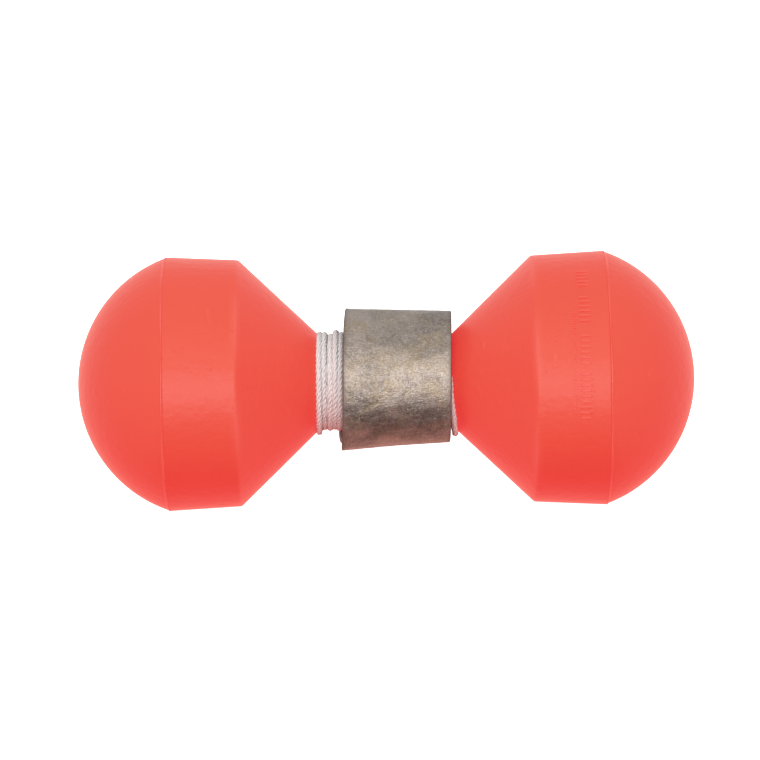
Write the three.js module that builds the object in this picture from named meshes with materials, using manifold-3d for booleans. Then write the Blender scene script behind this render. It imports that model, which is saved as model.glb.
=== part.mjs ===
// A marker buoy for fishing and boating: two hollow plastic bulbs joined by a spool neck, a cord
// wound on the neck, and a strap of sheet lead bent round the winding. The strap keeps the
// cord wound, and it is the weight that carries the cord's end to the bottom.
//
// Millimetres. +X runs along the spool's axis, +Z is up, and the origin is the spool's middle.

import * as THREE from 'three';
import { mergeVertices } from 'three/addons/utils/BufferGeometryUtils.js';
import Module from 'manifold-3d';

const wasm = await Module();
wasm.setup();

// ---- driving dimensions ----------------------------------------------------------------

const overallLength = 175;
const bulbDiameter = 72; // across the seam between a dome and its bell
const domeHeight = 25.7;
const bandWidth = 20.3; // the nearly straight band between the seam and the cone
const bandTaper = 1.05; // the band's radius is this much less where it meets the cone
const shellWall = 2;
const spigotLength = 4; // of the dome, inside the bell's mouth
const spigotWall = 1.8;
const weldBeadHeight = 0.35;
const weldBeadWidth = 0.9;

const neckDiameter = 13;
const neckWall = 2;
const spoolWidth = 23.6; // between the feet of the two cones
const dowelProud = 1; // the dowel's end stands this far past the bore, inside each bulb

const cordDiameter = 1.5;
const windingRadius = 13.95; // at the strap's narrow end
const windingSwell = 0.9; // more than that at the strap's wide end
const heapRise = 2.5; // the turns squeezed out beside the strap's narrow end
const lapFromEdge = 5.5; // from the strap's wide edge to the last lap of cord

const strapThickness = 1.6;
const strapWideRoom = 10.2; // along X, from the cone to the strap's wide edge
const strapNarrowRoom = 1.05; // the same at its narrow edge
const strapFlare = 1.55; // the wide edge's radius is this much more than the narrow edge's
const strapLiftWide = 0.77; // how far the strap's centre is off the spool's axis
const strapLiftNarrow = 0.98;
const strapBendTurn = 30; // degrees from the top to the bend opposite the strap's ends
const strapTuckTurn = 42; // degrees by which the rear half runs on under the front half
const strapLipTurn = 2; // degrees by which the front half passes the bottom
const strapSkew = 1; // how far the strap has wandered towards -X by its bottom
const strapBow = 1.45; // how much further its rear half bows that way on the way down
const knotTurn = 40; // degrees from the bend back to the cord's hole
const knotRadius = 2.3;

const fit = 0.3; // clearance between neighbours
const bulbSides = 24;
const spoolSides = 36;
const strapSides = 26; // facets along each half of the strap

// ---- sizes that follow -----------------------------------------------------------------

const bulbRadius = bulbDiameter / 2;
const seamX = overallLength / 2 - domeHeight;
const bandX = seamX - bandWidth;
const bandRadius = bulbRadius - bandTaper;
const neckRadius = neckDiameter / 2;
const boreRadius = neckRadius - neckWall;
const footX = spoolWidth / 2;
const coneSlope = (bandRadius - neckRadius) / (bandX - footX);
const domeRadius = (bulbRadius ** 2 + domeHeight ** 2) / (2 * domeHeight);
const domeCentreX = overallLength / 2 - domeRadius;

// The station at which a cone has a given radius, and the same line moved off its surface.
const coneStation = (radius) => footX + (radius - neckRadius) / coneSlope;
const offCone = (radius, gap) => coneStation(radius) - gap * Math.hypot(1, 1 / coneSlope);

// The strap's two edges lie at these stations, and its outer surface at these radii.
const narrowBottom = windingRadius + 2 * fit + 2 * strapThickness;
const wideBottom = narrowBottom + strapFlare;
const doubled = 2 * strapThickness + fit;
const narrowX = coneStation(narrowBottom - doubled) - strapNarrowRoom;
const wideX = strapWideRoom - coneStation(wideBottom - doubled);
const lapX = wideX + lapFromEdge;

const mix = (a, b, share) => a + (b - a) * share;
const degrees = THREE.MathUtils.degToRad;

// ---- helpers ---------------------------------------------------------------------------

// Turns a closed or axis-to-axis outline of [station, radius] points about the X axis. A
// flat facet faces straight down, so that the bulbs lie still on a table.
function turned(outline, sides) {
  let doubledArea = 0;
  outline.forEach(([x, r], i) => {
    const [nextX, nextR] = outline[(i + 1) % outline.length];
    doubledArea += r * nextX - nextR * x;
  });
  const points = outline.map(([x, r]) => new THREE.Vector2(r, x));
  if (doubledArea < 0) points.reverse();
  const onAxis = points[0].x === 0 && points.at(-1).x === 0;
  if (!onAxis) points.push(points[0].clone());
  return new THREE.LatheGeometry(points, sides, Math.PI / sides).rotateZ(-Math.PI / 2);
}

// Points of a circular arc about (centreX, 0), from one station to another.
function arc(centreX, radius, fromX, toX, steps) {
  const start = Math.acos((fromX - centreX) / radius);
  const end = Math.acos(THREE.MathUtils.clamp((toX - centreX) / radius, -1, 1));
  return Array.from({ length: steps + 1 }, (_, i) => {
    const angle = mix(start, end, i / steps);
    return [centreX + radius * Math.cos(angle), radius * Math.sin(angle)];
  });
}

function toSolid(geometry) {
  const bare = geometry.clone();
  bare.deleteAttribute('normal');
  bare.deleteAttribute('uv');
  const merged = mergeVertices(bare, 1e-4);
  return new wasm.Manifold(new wasm.Mesh({
    numProp: 3,
    vertProperties: new Float32Array(merged.attributes.position.array),
    triVerts: new Uint32Array(merged.index.array),
  }));
}

function toGeometry(solid) {
  const { vertProperties, triVerts } = solid.getMesh();
  const geometry = new THREE.BufferGeometry();
  geometry.setAttribute('position', new THREE.BufferAttribute(vertProperties, 3));
  geometry.setIndex(new THREE.BufferAttribute(triVerts, 1));
  geometry.computeVertexNormals();
  return geometry;
}

// ---- materials -------------------------------------------------------------------------

const plastic = () => new THREE.MeshStandardMaterial({ color: 0xf0573f, roughness: 0.42, metalness: 0 });
const clearCore = () => new THREE.MeshStandardMaterial({ color: 0xe9e4da, roughness: 0.5, metalness: 0 });
const nylon = () => new THREE.MeshStandardMaterial({ color: 0xe4dcd8, roughness: 0.7, metalness: 0 });
const lead = () => new THREE.MeshStandardMaterial({ color: 0x9b8b7f, roughness: 0.6, metalness: 0.5 });

function piece(name, geometry, material) {
  const mesh = new THREE.Mesh(geometry, material);
  mesh.name = name;
  return mesh;
}

// ---- bulbs -----------------------------------------------------------------------------

// A bell is a neck tube, a cone and a band in one moulding. Its inside follows its outside
// at the wall's thickness.
function bellShape() {
  const slant = Math.hypot(1, coneSlope);
  const innerConeAt = (x) => neckRadius + (x - footX) * coneSlope - shellWall * slant;
  const bandSlope = bandTaper / bandWidth;
  const innerBandAt = (x) => bandRadius + (x - bandX) * bandSlope - shellWall;
  const innerFootX = footX + (boreRadius - neckRadius + shellWall * slant) / coneSlope;
  const cornerX = bandX + (innerBandAt(bandX) - innerConeAt(bandX)) / (coneSlope - bandSlope);
  const mouthX = seamX - fit / 2;
  return turned([
    [fit / 2, boreRadius],
    [fit / 2, neckRadius],
    [footX, neckRadius],
    [bandX, bandRadius],
    [mouthX, bulbRadius],
    [mouthX, innerBandAt(mouthX)],
    [cornerX, innerBandAt(cornerX)],
    [innerFootX, boreRadius],
  ], bulbSides);
}

// A dome is a cap of a sphere with a spigot that seats in the bell's mouth, and a bead of
// weld round its rim.
function domeShape() {
  const rimX = seamX + fit / 2;
  const spigotRadius = bulbRadius - shellWall - bandTaper / bandWidth * spigotLength - fit;
  const spigotInner = spigotRadius - spigotWall;
  const innerRadius = domeRadius - shellWall;
  const beadX = rimX + weldBeadWidth;
  const innerX = domeCentreX + Math.sqrt(innerRadius ** 2 - spigotInner ** 2);
  return turned([
    ...arc(domeCentreX, domeRadius, beadX, domeCentreX + domeRadius, 10).reverse(),
    [beadX - weldBeadWidth / 4, bulbRadius + weldBeadHeight],
    [rimX + weldBeadWidth / 4, bulbRadius + weldBeadHeight],
    [rimX, bulbRadius],
    [rimX, spigotRadius],
    [seamX - spigotLength, spigotRadius],
    [seamX - spigotLength, spigotInner],
    ...arc(domeCentreX, innerRadius, innerX, domeCentreX + innerRadius, 8),
  ].map(([x, r]) => [x, Math.abs(r) < 1e-6 ? 0 : r]), bulbSides);
}

// One bulb's mouldings, made for +X; the other bulb is the same pair turned end for end.
function bulb(side, turn) {
  const group = new THREE.Group();
  group.rotation.z = turn;
  group.add(piece(`${side}_bell`, bellShape(), plastic()));
  group.add(piece(`${side}_dome`, domeShape(), plastic()));
  return group;
}

// The dowel plugs both necks and joins them.
function dowel() {
  const radius = boreRadius - fit;
  const end = footX + dowelProud;
  const outline = [[-end, 0], [-end, radius], [end, radius], [end, 0]];
  return piece('neck_dowel', turned(outline, bulbSides), clearCore());
}

// ---- cord ------------------------------------------------------------------------------

// The winding's outer surface at a station, under the strap and on to the wide side.
function windingAt(x) {
  const share = THREE.MathUtils.clamp((x - wideX) / (narrowX - wideX), 0, 1);
  return windingRadius + windingSwell * Math.max(0, 1 - share * 1.5);
}

// The winding fills the groove between the cones, with a groove of its own for the last lap.
function windingShape() {
  const inner = neckRadius + fit;
  const edge = windingAt(wideX) - 0.7;
  const slot = cordDiameter / 2 + fit;
  const slotFloor = windingAt(lapX) - cordDiameter - fit;
  const heapTop = windingRadius + heapRise;
  const heapShoulder = heapTop - 0.2;
  const heapX = narrowX + fit;
  return turned([
    [-offCone(inner, fit), inner],
    [-offCone(edge, fit), edge],
    [mix(-offCone(edge, fit), wideX, 0.35), edge + 0.35],
    [wideX, windingAt(wideX)],
    [lapX - slot, windingAt(lapX - slot)],
    [lapX - slot, slotFloor],
    [lapX + slot, slotFloor],
    [lapX + slot, windingAt(lapX + slot)],
    [mix(wideX, narrowX, 2 / 3), windingRadius],
    [heapX, windingRadius],
    [heapX, mix(windingRadius, heapTop, 0.7)],
    [mix(heapX, offCone(heapTop, fit), 0.4), heapTop],
    [offCone(heapShoulder, fit), heapShoulder],
    [offCone(inner, fit), inner],
  ], spoolSides);
}

// The last lap is a ring of cord flush with the winding; it goes round with the strap.
function lastLapShape() {
  const radius = cordDiameter / 2;
  const centre = windingAt(lapX) - radius;
  const outline = Array.from({ length: 8 }, (_, i) => {
    const angle = (i + 0.5) * Math.PI / 4;
    return [lapX + radius * Math.cos(angle), centre + radius * Math.sin(angle)];
  });
  return turned(outline, spoolSides);
}

// ---- lead strap ------------------------------------------------------------------------

const bendDirection = new THREE.Vector3(0, Math.sin(degrees(strapBendTurn)), Math.cos(degrees(strapBendTurn)));
const frontDirection = new THREE.Vector3(1, 0, 0).cross(bendDirection);

// A direction square to the axis, turned from the bend towards the front.
function towards(turn) {
  const along = bendDirection.clone().multiplyScalar(Math.cos(turn));
  return along.addScaledVector(frontDirection, Math.sin(turn));
}

// The rear half sinks by its own thickness, so that its free end lies under the front half.
function sinkAt(turn) {
  const share = THREE.MathUtils.clamp(-turn / degrees(150), 0, 1);
  return (strapThickness + fit) * THREE.MathUtils.smoothstep(share, 0, 1);
}

// The strap isn't wound on quite square: its front half slants, and its rear half bows too.
function skewAt(turn) {
  const share = Math.min(Math.abs(turn) / Math.PI, 1);
  const bow = turn < 0 ? strapBow * Math.sin(Math.PI * share ** 2) : 0;
  return -strapSkew * share - bow;
}

// A point of the strap: share runs from the wide edge to the narrow one, and depth inwards.
function strapPoint(share, depth, turn) {
  const bottom = mix(wideBottom, narrowBottom, share);
  const lift = mix(strapLiftWide, strapLiftNarrow, share);
  const radius = bottom + lift - sinkAt(turn) - depth;
  const point = towards(turn).multiplyScalar(radius).addScaledVector(bendDirection, lift);
  point.x = mix(wideX, narrowX, share) + skewAt(turn);
  return point;
}

// A straight blank of sheet, bent to the strap's curve between two turns.
function bentBlank(fromTurn, toTurn) {
  const blank = new THREE.BoxGeometry(1, 1, 1, 3, 1, strapSides);
  const position = blank.attributes.position;
  for (let i = 0; i < position.count; i += 1) {
    const share = position.getX(i) + 0.5;
    const depth = (0.5 - position.getY(i)) * strapThickness;
    const turn = mix(fromTurn, toTurn, position.getZ(i) + 0.5);
    position.setXYZ(i, ...strapPoint(share, depth, turn));
  }
  return blank;
}

const halfGapTurn = fit / 2 / wideBottom;
const holeTurn = -degrees(knotTurn);
const holeShare = (lapX - skewAt(holeTurn) - wideX) / (narrowX - wideX);
const holePoint = strapPoint(holeShare, 0, holeTurn);

// Places a shape made along +Y, with its middle at a depth of 0, in the strap's hole.
function inHole(geometry) {
  const upright = new THREE.Quaternion().setFromUnitVectors(new THREE.Vector3(0, 1, 0), towards(holeTurn));
  return geometry.applyQuaternion(upright).translate(...holePoint);
}

function rearStrap() {
  const band = toSolid(bentBlank(-degrees(180 + strapTuckTurn), -halfGapTurn));
  const radius = cordDiameter / 2 + fit;
  const drill = toSolid(inHole(new THREE.CylinderGeometry(radius, radius, 6 * strapThickness, 16)));
  return piece('lead_strap_rear', toGeometry(band.subtract(drill)), lead());
}

function frontStrap() {
  const band = bentBlank(halfGapTurn, degrees(180 + strapLipTurn));
  return piece('lead_strap_front', band, lead());
}

// The cord's end comes up through the strap's hole and is knotted on the outside.
function endKnot() {
  const stem = cordDiameter / 2;
  const lapTop = windingAt(lapX) + fit;
  const reach = Math.hypot(holePoint.y, holePoint.z) - lapTop;
  const ballX = knotRadius + fit;
  const outline = [[-reach, 0], [-reach, stem]];
  const stemTop = ballX - Math.sqrt(knotRadius ** 2 - stem ** 2);
  outline.push(...arc(ballX, knotRadius, stemTop, ballX + knotRadius, 7));
  outline.at(-1)[1] = 0;
  const along = turned(outline, 16).rotateZ(Math.PI / 2);
  return piece('cord_end_knot', inHole(along), nylon());
}

// ---- the buoy --------------------------------------------------------------------------

const buoy = new THREE.Group();
buoy.add(bulb('right', 0));
buoy.add(bulb('left', Math.PI));
buoy.add(dowel());
buoy.add(piece('cord_winding', windingShape(), nylon()));
buoy.add(piece('cord_last_lap', lastLapShape(), nylon()));
buoy.add(rearStrap());
buoy.add(frontStrap());
buoy.add(endKnot());

export default buoy;
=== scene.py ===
# %% [markdown]
# # A marker buoy, its wound cord and its lead strap
# The real object is two hollow plastic bulbs joined by a neck, with a long twisted cord wound on the
# neck and a strip of sheet lead bent round the winding. The imported CAD model holds its sizes and its
# joints. This lesson dresses that model: every piece made below is in metres, in the CAD model's own
# frame, and each but the strap's short bend rides on one of its bodies.

import math
import random

import bmesh
import bpy
import numpy as np
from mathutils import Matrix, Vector


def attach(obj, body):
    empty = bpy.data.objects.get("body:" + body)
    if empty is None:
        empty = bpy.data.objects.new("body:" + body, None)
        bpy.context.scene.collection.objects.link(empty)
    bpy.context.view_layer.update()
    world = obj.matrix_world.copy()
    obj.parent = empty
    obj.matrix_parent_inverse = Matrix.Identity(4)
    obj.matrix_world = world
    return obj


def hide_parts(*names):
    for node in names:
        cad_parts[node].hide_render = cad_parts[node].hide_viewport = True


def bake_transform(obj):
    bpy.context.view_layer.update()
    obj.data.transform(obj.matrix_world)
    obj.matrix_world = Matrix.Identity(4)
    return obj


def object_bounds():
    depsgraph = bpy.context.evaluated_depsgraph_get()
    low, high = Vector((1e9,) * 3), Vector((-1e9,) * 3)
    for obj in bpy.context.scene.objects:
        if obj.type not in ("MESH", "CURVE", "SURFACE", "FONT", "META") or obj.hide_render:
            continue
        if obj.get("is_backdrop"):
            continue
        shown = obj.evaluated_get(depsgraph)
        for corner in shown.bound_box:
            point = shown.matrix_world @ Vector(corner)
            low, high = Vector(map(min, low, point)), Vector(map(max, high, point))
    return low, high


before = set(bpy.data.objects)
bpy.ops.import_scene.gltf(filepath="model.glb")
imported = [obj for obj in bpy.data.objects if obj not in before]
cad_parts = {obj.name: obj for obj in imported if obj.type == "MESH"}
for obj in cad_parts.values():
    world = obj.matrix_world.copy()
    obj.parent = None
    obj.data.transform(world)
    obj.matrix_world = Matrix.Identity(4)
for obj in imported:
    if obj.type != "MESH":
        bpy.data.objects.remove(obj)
cad_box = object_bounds()
MM = 0.001

# %% [markdown]
# ## Camera
# A product shot is taken with a long lens, so that the ends of a long object don't look bent. The
# camera stands in front, 30 degrees above the horizon, a little more than a metre away. The object
# lies slightly off the middle of the view and isn't quite level in it.

# %% Camera
camera_height_angle = math.radians(30)
camera_distance = 1.042
towards_camera = Vector((0, -math.cos(camera_height_angle), math.sin(camera_height_angle)))
up_in_view = Vector((0, math.sin(camera_height_angle), math.cos(camera_height_angle)))
aim = Vector((-1.76, 0, 0)) * MM + up_in_view * 0.28 * MM

camera = bpy.data.objects.new("camera", bpy.data.cameras.new("camera"))
bpy.context.scene.collection.objects.link(camera)
camera.data.lens, camera.data.sensor_width = 173.6, 36
camera.data.clip_start, camera.data.clip_end = 0.05, 50
camera.location = aim + towards_camera * camera_distance
level_view = (-towards_camera).to_track_quat("-Z", "Y").to_matrix()
camera.rotation_euler = (level_view @ level_view.Rotation(math.radians(-0.91), 3, "Z")).to_euler()
bpy.context.scene.camera = camera
bpy.context.scene.view_settings.view_transform = "Standard"
print("view transform:", bpy.context.scene.view_settings.view_transform)

# %% [markdown]
# ## Sums on nodes
# A finish is a network of nodes, and so is a shape that follows a rule. Placing each node by hand
# hides the sum that it works out. Here one small class stands for a node's output, and adds a Math
# node whenever it is added, multiplied or taken from something. A second class holds the tree, and
# makes every other node with one method: the node's settings come first, then its sockets.


# %% A node's output, and a tree of nodes
class Signal:
    """What comes out of a node's socket. Sums on it become Math nodes."""

    def __init__(self, recipe, socket):
        self.recipe, self.socket = recipe, socket

    def other(self, name):
        return Signal(self.recipe, find_socket(self.socket.node.outputs, name))

    def maths(self, operation, first, second):
        return self.recipe.node("ShaderNodeMath", {"operation": operation}, {0: first, 1: second})

    def __add__(self, other):
        return self.maths("ADD", self, other)

    def __sub__(self, other):
        return self.maths("SUBTRACT", self, other)

    def __rsub__(self, other):
        return self.maths("SUBTRACT", other, self)

    def __mul__(self, other):
        return self.maths("MULTIPLY", self, other)

    def __truediv__(self, other):
        return self.maths("DIVIDE", self, other)

    __radd__ = __add__
    __rmul__ = __mul__


def find_socket(sockets, key):
    if isinstance(key, int):
        return sockets[key]
    for socket in sockets:
        if socket.identifier == key:
            return socket
    return sockets[key]


class Recipe:
    """A tree of nodes, for a finish or for a shape."""

    def __init__(self, tree):
        self.tree = tree

    def node(self, kind, settings=None, sockets=None, out=0):
        made = self.tree.nodes.new(kind)
        for name, value in (settings or {}).items():
            setattr(made, name, value)
        for key, value in (sockets or {}).items():
            socket = find_socket(made.inputs, key)
            if isinstance(value, Signal):
                self.tree.links.new(value.socket, socket)
            else:
                socket.default_value = value
        return Signal(self, find_socket(made.outputs, out)) if len(made.outputs) else None

    def wave(self, operation, value):
        return self.node("ShaderNodeMath", {"operation": operation}, {0: value})

    def step(self, value, low, high):
        """A soft step: 0 up to the low value, 1 from the high one on."""
        sockets = {"Value": value, "From Min": low, "From Max": high}
        return self.node("ShaderNodeMapRange", {"interpolation_type": "SMOOTHSTEP"}, sockets)

    def mix(self, share, first, second):
        sockets = {"Factor_Float": share, "A_Color": colour(first), "B_Color": colour(second)}
        return self.node("ShaderNodeMix", {"data_type": "RGBA"}, sockets, out="Result_Color")

    def noise(self, place, scale, detail=2.0, roughness=0.5, distortion=0.0):
        sockets = {"Vector": place, "Scale": scale, "Detail": detail, "Roughness": roughness}
        return self.node("ShaderNodeTexNoise", {}, {**sockets, "Distortion": distortion})

    def place(self, stretch=(1, 1, 1), turn=(0, 0, 0)):
        """Object coordinates, turned and stretched."""
        here = self.node("ShaderNodeTexCoord", {}, {}, out="Object")
        return self.node("ShaderNodeMapping", {}, {"Vector": here, "Rotation": turn, "Scale": stretch})

    def own(self, name, out="Fac"):
        """A value that the piece carries at each of its points."""
        return self.node("ShaderNodeAttribute", {"attribute_name": name}, {}, out=out)

    def bump(self, height, distance, below=None):
        sockets = {"Height": height, "Strength": 1.0, "Distance": distance}
        if below is not None:
            sockets["Normal"] = below
        return self.node("ShaderNodeBump", {}, sockets)


def colour(value):
    return value if isinstance(value, Signal) else (*value[:3], 1.0)


def new_finish(name, preview):
    material = bpy.data.materials.new(name)
    material.use_nodes = True
    material.node_tree.nodes.clear()
    material.diffuse_color = (*preview, 1.0)
    return material, Recipe(material.node_tree)


def close_finish(recipe, **sockets):
    skin = recipe.node("ShaderNodeBsdfPrincipled", {}, sockets)
    recipe.node("ShaderNodeOutputMaterial", {}, {"Surface": skin})


print("sums on nodes are ready")

# %% [markdown]
# ## White twisted nylon
# The cord's yarns are bright filament nylon. It could be one white paint, but a close look shows
# fine filaments winding along each strand, a soft gloss, and a little dirt in random patches. The
# grooves between the filaments are painted darker, as painted shade. The pattern reads two values
# that each strand carries, how far along it a point is and where round it, so the filaments follow the
# strand wherever it goes.

# %% Nylon finish
nylon, recipe = new_finish("twisted_nylon", (0.66, 0.62, 0.6))
around_strand = recipe.node("ShaderNodeSeparateXYZ", {}, {"Vector": recipe.own("strand_around", "Vector")})
strand_turn = recipe.node(
    "ShaderNodeMath", {"operation": "ARCTAN2"}, {0: around_strand.other("Y"), 1: around_strand}
)
strand_along = recipe.own("strand_along")
filaments = recipe.wave("SINE", strand_turn * 4.0 + strand_along * 1500.0) * 0.5 + 0.5
here = recipe.place()
uneven = recipe.noise(here, 420.0, 3.0)
dirt = recipe.step(recipe.noise(here, 140.0, 4.0, 0.6), 0.52, 0.74)
# painted shade: the grooves between filaments, where the bump sinks, are darker
fibre_tone_and_groove_shade = recipe.mix(filaments, (0.50, 0.46, 0.44), (0.755, 0.73, 0.725))
fibre_tone_and_groove_shade = recipe.mix(dirt * 0.25, fibre_tone_and_groove_shade, (0.74, 0.69, 0.67))
close_finish(
    recipe,
    **{
        "Base Color": recipe.mix(uneven * 0.25, fibre_tone_and_groove_shade, (0.88, 0.86, 0.86)),
        "Roughness": 0.42 + filaments * 0.14 + dirt * 0.1,
        "Normal": recipe.bump(filaments * 0.8 + uneven * 0.2, 0.00010),
    },
)
print("finish:", nylon.name)

# %% [markdown]
# ## How pieces are kept
# Each piece becomes a plain mesh with its place in its points, so that its object sits at the
# origin. A closed mesh has a volume with a sign: where that is negative the faces point inwards, and
# they are all turned over. A volume is quick to work out, so every piece is tested this way.


# %% Keep a mesh as a piece
def volume_of(mesh):
    mesh.calc_loop_triangles()
    points = np.empty(len(mesh.vertices) * 3)
    mesh.vertices.foreach_get("co", points)
    corners = np.empty(len(mesh.loop_triangles) * 3, dtype=int)
    mesh.loop_triangles.foreach_get("vertices", corners)
    a, b, c = points.reshape(-1, 3)[corners.reshape(-1, 3)].transpose(1, 0, 2)
    return float(np.einsum("ij,ij->i", a, np.cross(b, c)).sum() / 6)


def keep_piece(name, mesh, sharp_angle=40):
    if volume_of(mesh) < 0:
        mesh.flip_normals()
    mesh.polygons.foreach_set("use_smooth", [True] * len(mesh.polygons))
    mesh.set_sharp_from_angle(angle=math.radians(sharp_angle))
    piece = bpy.data.objects.new(name, mesh)
    bpy.context.scene.collection.objects.link(piece)
    print(f"{name}: {len(mesh.loop_triangles)} triangles, {volume_of(mesh) * 1e6:.3f} cubic centimetres")
    return piece


def mesh_of(name, points_mm, faces, finish, marks=None):
    """marks are values that the points carry, by name, for the finish to read."""
    mesh = bpy.data.meshes.new(name)
    mesh.from_pydata([tuple(MM * c for c in point) for point in points_mm], [], faces)
    mesh.materials.append(finish)
    for mark, values in (marks or {}).items():
        mesh.attributes.new(mark, "FLOAT", "POINT").data.foreach_set("value", values)
    mesh.validate()
    return mesh


# %% [markdown]
# ## The cord's route
# A cord is wound as a real one is: made fast at the neck, laid in layers from cone to cone, and each
# layer lies on the one below. The route gives, for each step, a turn round the spool, a station along
# it and a distance from its axis. Five layers are buried. The sixth is the one that shows, so it is
# laid out station by station at the wide side, where the turns lie unevenly, and climbs the cone
# there. At the narrow side one turn climbs the other cone. Then the cord crosses back under the
# strap to where its last lap begins.

# %% Sizes that the cord shares with the CAD model, in millimetres
cord_diameter = 1.5
neck_foot, neck_radius, cone_slope = 11.8, 6.5, 0.957912
wide_x, narrow_x = -11.3086, 18.8405
winding_radius, winding_swell = 13.95, 0.9
lap_x = wide_x + 5.5
bottom_turn = 210.0  # degrees from the top towards the back; the lowest side in the camera's view


def cone_station(radius):
    return neck_foot + (radius - neck_radius) / cone_slope


def winding_at(x):
    share = min(max((x - wide_x) / (narrow_x - wide_x), 0), 1)
    return winding_radius + winding_swell * max(0, 1 - share * 1.5)


def square_to_axis(degrees):
    return Vector((0, math.sin(math.radians(degrees)), math.cos(math.radians(degrees))))


print(f"last lap at {lap_x:.2f} mm, winding radius there {winding_at(lap_x):.2f} mm")

# %% The buried layers
steps_per_turn = 14
layer_radii = [7.3, 8.5, 9.7, 10.95, 12.25]
lay_pitch = 1.605
cone_room = 1.15


def buried_route():
    """Steps of (degrees, x, radius) that end at the left cone, at the bottom of the spool."""
    stations = []
    for layer, radius in enumerate(layer_radii):
        edge = (cone_station(radius) - cone_room) * (1 if layer % 2 == 0 else -1)
        count = round(2 * abs(edge) / lay_pitch * steps_per_turn)
        stations += [(edge * (1 - 2 * i / count), radius) for i in range(count)]
    stations += [(-17.5, 12.9)] * (steps_per_turn + 6)
    spread = np.array(stations)
    soft = np.ones(9) / 9
    for column in (0, 1):
        padded = np.pad(spread[:, column], 4, mode="edge")
        spread[:, column] = np.convolve(padded, soft, "valid")
    last = len(spread) - 1
    return [(bottom_turn + 360 * (i - last - 6) / steps_per_turn, *spread[i]) for i in range(last + 1)]


buried = buried_route()
print(f"buried layers: {len(layer_radii)} layers, {len(buried) / steps_per_turn:.0f} turns")

# %% The layer that shows
pressed_diameter = 1.84  # turns that are wound tight spread sideways until they touch
pressed_radius = 1.02 * pressed_diameter / 2
turns_per_half, pitch_of_half = 0.5, 0.78
# Each station is (turns from the first climb, x, outer radius). Between stations the cord eases over.
showing_stations = [
    (0.0, -19.20, 15.20), (0.5, -18.70, 14.40), (1.0, -17.90, 13.80), (1.5, -17.30, 14.30),
    (2.0, -16.15, 14.05), (2.5, -15.55, 13.85), (3.0, -14.80, 13.75), (3.5, -14.05, 14.85),
    (4.0, -13.50, 14.10), (4.5, -12.60, 14.20), (5.0, -12.05, 14.30), (5.5, -11.15, 13.95),
]
uneven_hand = random.Random(7)
turn, x = 6.0, -10.45
while x < lap_x - 1.95:
    showing_stations.append((turn, x, winding_at(x) + uneven_hand.uniform(-0.2, 0.05)))
    turn, x = turn + turns_per_half, x + pitch_of_half
lap_side = cord_diameter / 2 + 1.12
under_lap = winding_at(lap_x) - 1.85
showing_stations += [
    (turn, lap_x - lap_side, winding_at(lap_x)),
    (turn + 0.07, lap_x - lap_side + 0.2, under_lap),
    (turn + 0.25, lap_x + lap_side - 0.2, under_lap),
    (turn + 0.32, lap_x + lap_side, winding_at(lap_x)),
]
turn, x = turn + 1.0, lap_x + lap_side + pitch_of_half
while x < 15.4:
    showing_stations.append((turn, x, winding_at(x) + uneven_hand.uniform(-0.2, 0.05)))
    turn, x = turn + turns_per_half, x + pitch_of_half
print(f"stations up to the narrow side: {len(showing_stations)}, at turn {turn}")

# %% The climb at the narrow side, and the way back to the last lap
climb = math.ceil(turn)
showing_stations += [
    (climb - 0.35, 17.65, 13.95),
    (climb - 0.20, 17.75, 13.95),
    (climb - 0.13, 18.90, 15.30),
    (climb, 19.40, 16.15),
    (climb + 0.11, 18.85, 15.05),
    (climb + 0.18, 18.20, 14.15),
    (climb + 0.25, 17.85, 13.95),
    (climb + 0.31, 16.90, 13.95),
    (climb + 0.37, 14.90, 13.90),
    (climb + 0.55, 5.00, winding_at(5.0)),
    (climb + 0.63, lap_x + lap_side + 0.1, winding_at(lap_x)),
]
showing_stations.sort()


def eased(stations, at):
    """The station's x and radius at a turn, with a smooth slope through every station."""
    turns = [s[0] for s in stations]
    i = min(max(int(np.searchsorted(turns, at)) - 1, 0), len(stations) - 2)
    before, start, end, after = (stations[min(max(i + k, 0), len(stations) - 1)] for k in (-1, 0, 1, 2))
    width = end[0] - start[0]
    share = (at - start[0]) / width
    found = []
    for part in (1, 2):
        slope_in = (end[part] - before[part]) / max(end[0] - before[0], 1e-6) * width
        slope_out = (after[part] - start[part]) / max(after[0] - start[0], 1e-6) * width
        square, cube = share * share, share**3
        found.append(
            (2 * cube - 3 * square + 1) * start[part] + (cube - 2 * square + share) * slope_in
            + (3 * square - 2 * cube) * end[part] + (cube - square) * slope_out
        )
    return found


def showing_route(step_mm):
    """Steps of (degrees, x, radius) of the layer that shows."""
    last = showing_stations[-1][0]
    count = round(last * 2 * math.pi * 13.5 / step_mm)
    steps = []
    for i in range(count + 1):
        x, outer = eased(showing_stations, last * i / count)
        steps.append((bottom_turn + 360 * last * i / count, x, outer - pressed_radius))
    return steps


showing = showing_route(0.46)
print(f"showing layer: {showing_stations[-1][0]:.2f} turns in {len(showing)} steps")

# %% Points along the cord
def route_points(steps):
    points = []
    for degrees, x, radius in steps:
        points.append((Vector((x, 0, 0)) + square_to_axis(degrees) * radius) * MM)
    return points


def length_of(points):
    return sum((b - a).length for a, b in zip(points, points[1:]))


def eased_join(before, after, count):
    """Steps that lead from one list's end to the next one's start."""
    first, last = before[-1], after[0]
    shares = [k / (count + 1) for k in range(1, count + 1)]
    return [tuple(a + (b - a) * s for a, b in zip(first, last)) for s in shares]


joined = buried + eased_join(buried, showing, 5)
buried_points, showing_points = route_points(joined + showing[:1]), route_points(showing)
cord_route = buried_points[:-1] + showing_points
cord_length = length_of(cord_route)
print(f"cord: {cord_length:.3f} m, of which {length_of(showing_points):.3f} m shows")

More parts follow.
